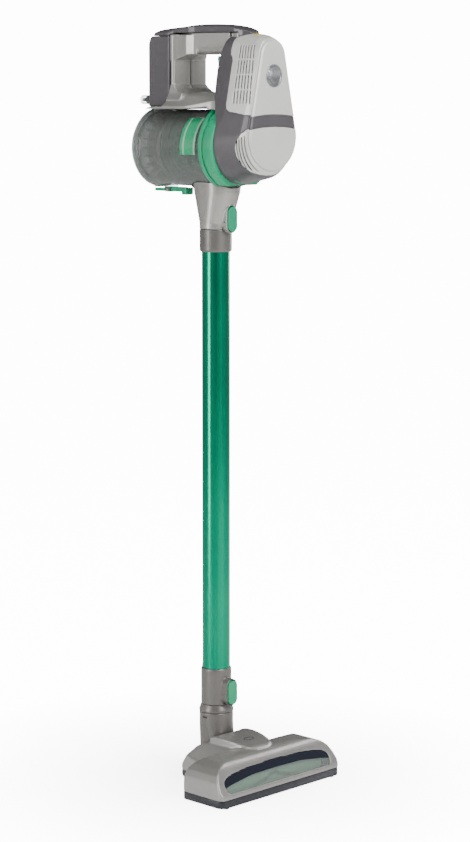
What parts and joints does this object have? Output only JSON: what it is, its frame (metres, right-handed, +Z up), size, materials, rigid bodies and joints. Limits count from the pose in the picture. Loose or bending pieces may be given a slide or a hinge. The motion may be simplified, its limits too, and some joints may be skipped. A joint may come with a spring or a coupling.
{
  "type": "cordless stick vacuum",
  "caption": "Cordless stick vacuum standing upright: powered brush head, slim tube wand and a detachable handheld unit with clear dust cup, loop handle and battery.",
  "frame": {"origin": "on the floor, at the centre of the footprint, which is on the wand axis", "axes": "+Z up along the wand, -Y the front of the floor head, X the width of the floor head"},
  "size_m": [0.2446, 0.2674, 1.08],
  "materials": {
    "base_dark": "fine texture",
    "head_grey": "satin metallic plastic",
    "clear_window": "clear plastic",
    "navy_gloss": "gloss",
    "rubber_black": "matte",
    "steel": "zinc plated",
    "duct_black": "matte",
    "dark_grey": "satin",
    "brush_green": "nylon tufts",
    "brass": "machined",
    "collar_grey": "satin metallic plastic",
    "spigot_grey": "satin",
    "green_tube": "anodised",
    "green": "satin gloss",
    "silver": "metallic lacquer",
    "cell_wrap": "shrink wrapped cell",
    "badge_metal": "spun",
    "yellow_lens": "translucent",
    "filter_white": "pleated felt",
    "board": "solder resist",
    "clear_cup": "clear plastic",
    "shroud_smoke": "translucent",
    "separator": "moulded",
    "label_green": "printed film"
  },
  "bodies": {
    "floor_head": {"head_base": "base_dark", "head_cover": "head_grey", "window_lens": "clear_window", "window_trim": "navy_gloss", "front_glides": "rubber_black", "base_screws": "steel", "brush_motor": "steel", "drive_belt": "rubber_black", "suction_duct": "duct_black", "brush_end_caps": "base_dark", "head_pins": "steel", "head_badge": "dark_grey"},
    "brush": {"brush_core": "brush_green", "bristle_rows": "brush_green", "brush_pulley": "dark_grey"},
    "drive_pulley": {"motor_pulley": "brass"},
    "left_wheel": {"wheel_left": "rubber_black"},
    "right_wheel": {"wheel_right": "rubber_black"},
    "neck": {"neck_elbow": "collar_grey"},
    "swivel": {"swivel_ring": "collar_grey", "neck_spigot": "spigot_grey", "spigot_seal": "rubber_black"},
    "wand": {"wand_tube": "green_tube", "wand_lower_collar": "collar_grey", "wand_upper_collar": "collar_grey", "wand_spigot": "spigot_grey", "wand_wire": "duct_black"},
    "wand_release": {"wand_button": "green"},
    "handheld": {"left_shell": "silver", "right_shell": "silver", "spine_cover": "dark_grey", "battery_housing": "dark_grey", "battery_cells": "cell_wrap", "pod_housing": "dark_grey", "pod_front_shell": "silver", "face_plate": "silver", "name_band": "dark_grey", "badge": "badge_metal", "indicator_lens": "yellow_lens", "motor_ring": "green", "motor_can": "steel", "exhaust_filter": "filter_white", "circuit_board": "board", "trigger_switch": "duct_black", "charge_jack": "duct_black", "nozzle_neck": "silver", "case_screws": "steel"},
    "power_trigger": {"trigger": "green"},
    "nozzle_release": {"nozzle_button": "green"},
    "fan": {"impeller": "duct_black"},
    "dust_cup": {"cup_shell": "clear_cup", "cyclone_shroud": "shroud_smoke", "separator_ring": "separator", "cup_filter": "filter_white", "cup_label": "label_green", "hinge_pins": "steel"},
    "door": {"cup_door": "clear_cup", "door_seal": "rubber_black"},
    "latch": {"cup_latch": "green"}
  },
  "joints": [
    {"name": "brush_spin", "type": "hinge", "parent": "floor_head", "child": "brush", "pos_m": [0, -0.103, 0.0205], "axis": [1, 0, 0], "continuous": true},
    {"name": "drive_pulley_spin", "type": "hinge", "parent": "floor_head", "child": "drive_pulley", "pos_m": [0, -0.069, 0.03], "axis": [1, 0, 0], "continuous": true},
    {"name": "left_wheel_spin", "type": "hinge", "parent": "floor_head", "child": "left_wheel", "pos_m": [-0.04, 0.019, 0.0075], "axis": [1, 0, 0], "continuous": true},
    {"name": "right_wheel_spin", "type": "hinge", "parent": "floor_head", "child": "right_wheel", "pos_m": [0.04, 0.019, 0.0075], "axis": [1, 0, 0], "continuous": true},
    {"name": "wand_recline", "type": "hinge", "parent": "floor_head", "child": "neck", "pos_m": [0, -0.003, 0.036], "axis": [-1, 0, 0], "range_deg": [0, 75]},
    {"name": "head_swivel", "type": "hinge", "parent": "neck", "child": "swivel", "pos_m": [0, 0, 0.097], "axis": [0, 0, 1], "range_deg": [-90, 90]},
    {"name": "wand_lift", "type": "slide", "parent": "swivel", "child": "wand", "axis": [0, 0, 1], "range_m": [0, 0.06]},
    {"name": "wand_button_press", "type": "hinge", "parent": "wand", "child": "wand_release", "pos_m": [0, -0.0268, 0.1238], "axis": [-1, 0, 0], "range_deg": [0, 5], "stiffness_Nm_per_rad": 0.4},
    {"name": "handheld_lift", "type": "slide", "parent": "wand", "child": "handheld", "axis": [0, 0, 1], "range_m": [0, 0.06]},
    {"name": "nozzle_button_press", "type": "hinge", "parent": "handheld", "child": "nozzle_release", "pos_m": [0, -0.0268, 0.8055], "axis": [-1, 0, 0], "range_deg": [0, 5], "stiffness_Nm_per_rad": 0.4},
    {"name": "trigger_pull", "type": "slide", "parent": "handheld", "child": "power_trigger", "axis": [0, -1, 0], "range_m": [0, 0.004], "stiffness_N_per_m": 400},
    {"name": "fan_spin", "type": "hinge", "parent": "handheld", "child": "fan", "pos_m": [0, -0.06, 0.908], "axis": [0, 1, 0], "continuous": true},
    {"name": "cup_pull", "type": "slide", "parent": "handheld", "child": "dust_cup", "axis": [0, 1, 0], "range_m": [0, 0.12]},
    {"name": "door_open", "type": "hinge", "parent": "dust_cup", "child": "door", "pos_m": [0, 0.1276, 0.975], "axis": [1, 0, 0], "range_deg": [0, 85]},
    {"name": "latch_press", "type": "hinge", "parent": "dust_cup", "child": "latch", "pos_m": [0, 0.09, 0.8474], "axis": [-1, 0, 0], "range_deg": [0, 4], "stiffness_Nm_per_rad": 0.3}
  ],
  "couplings": [
    {"joint": "drive_pulley_spin", "follows": "brush_spin", "ratio": 1.7234}
  ]
}
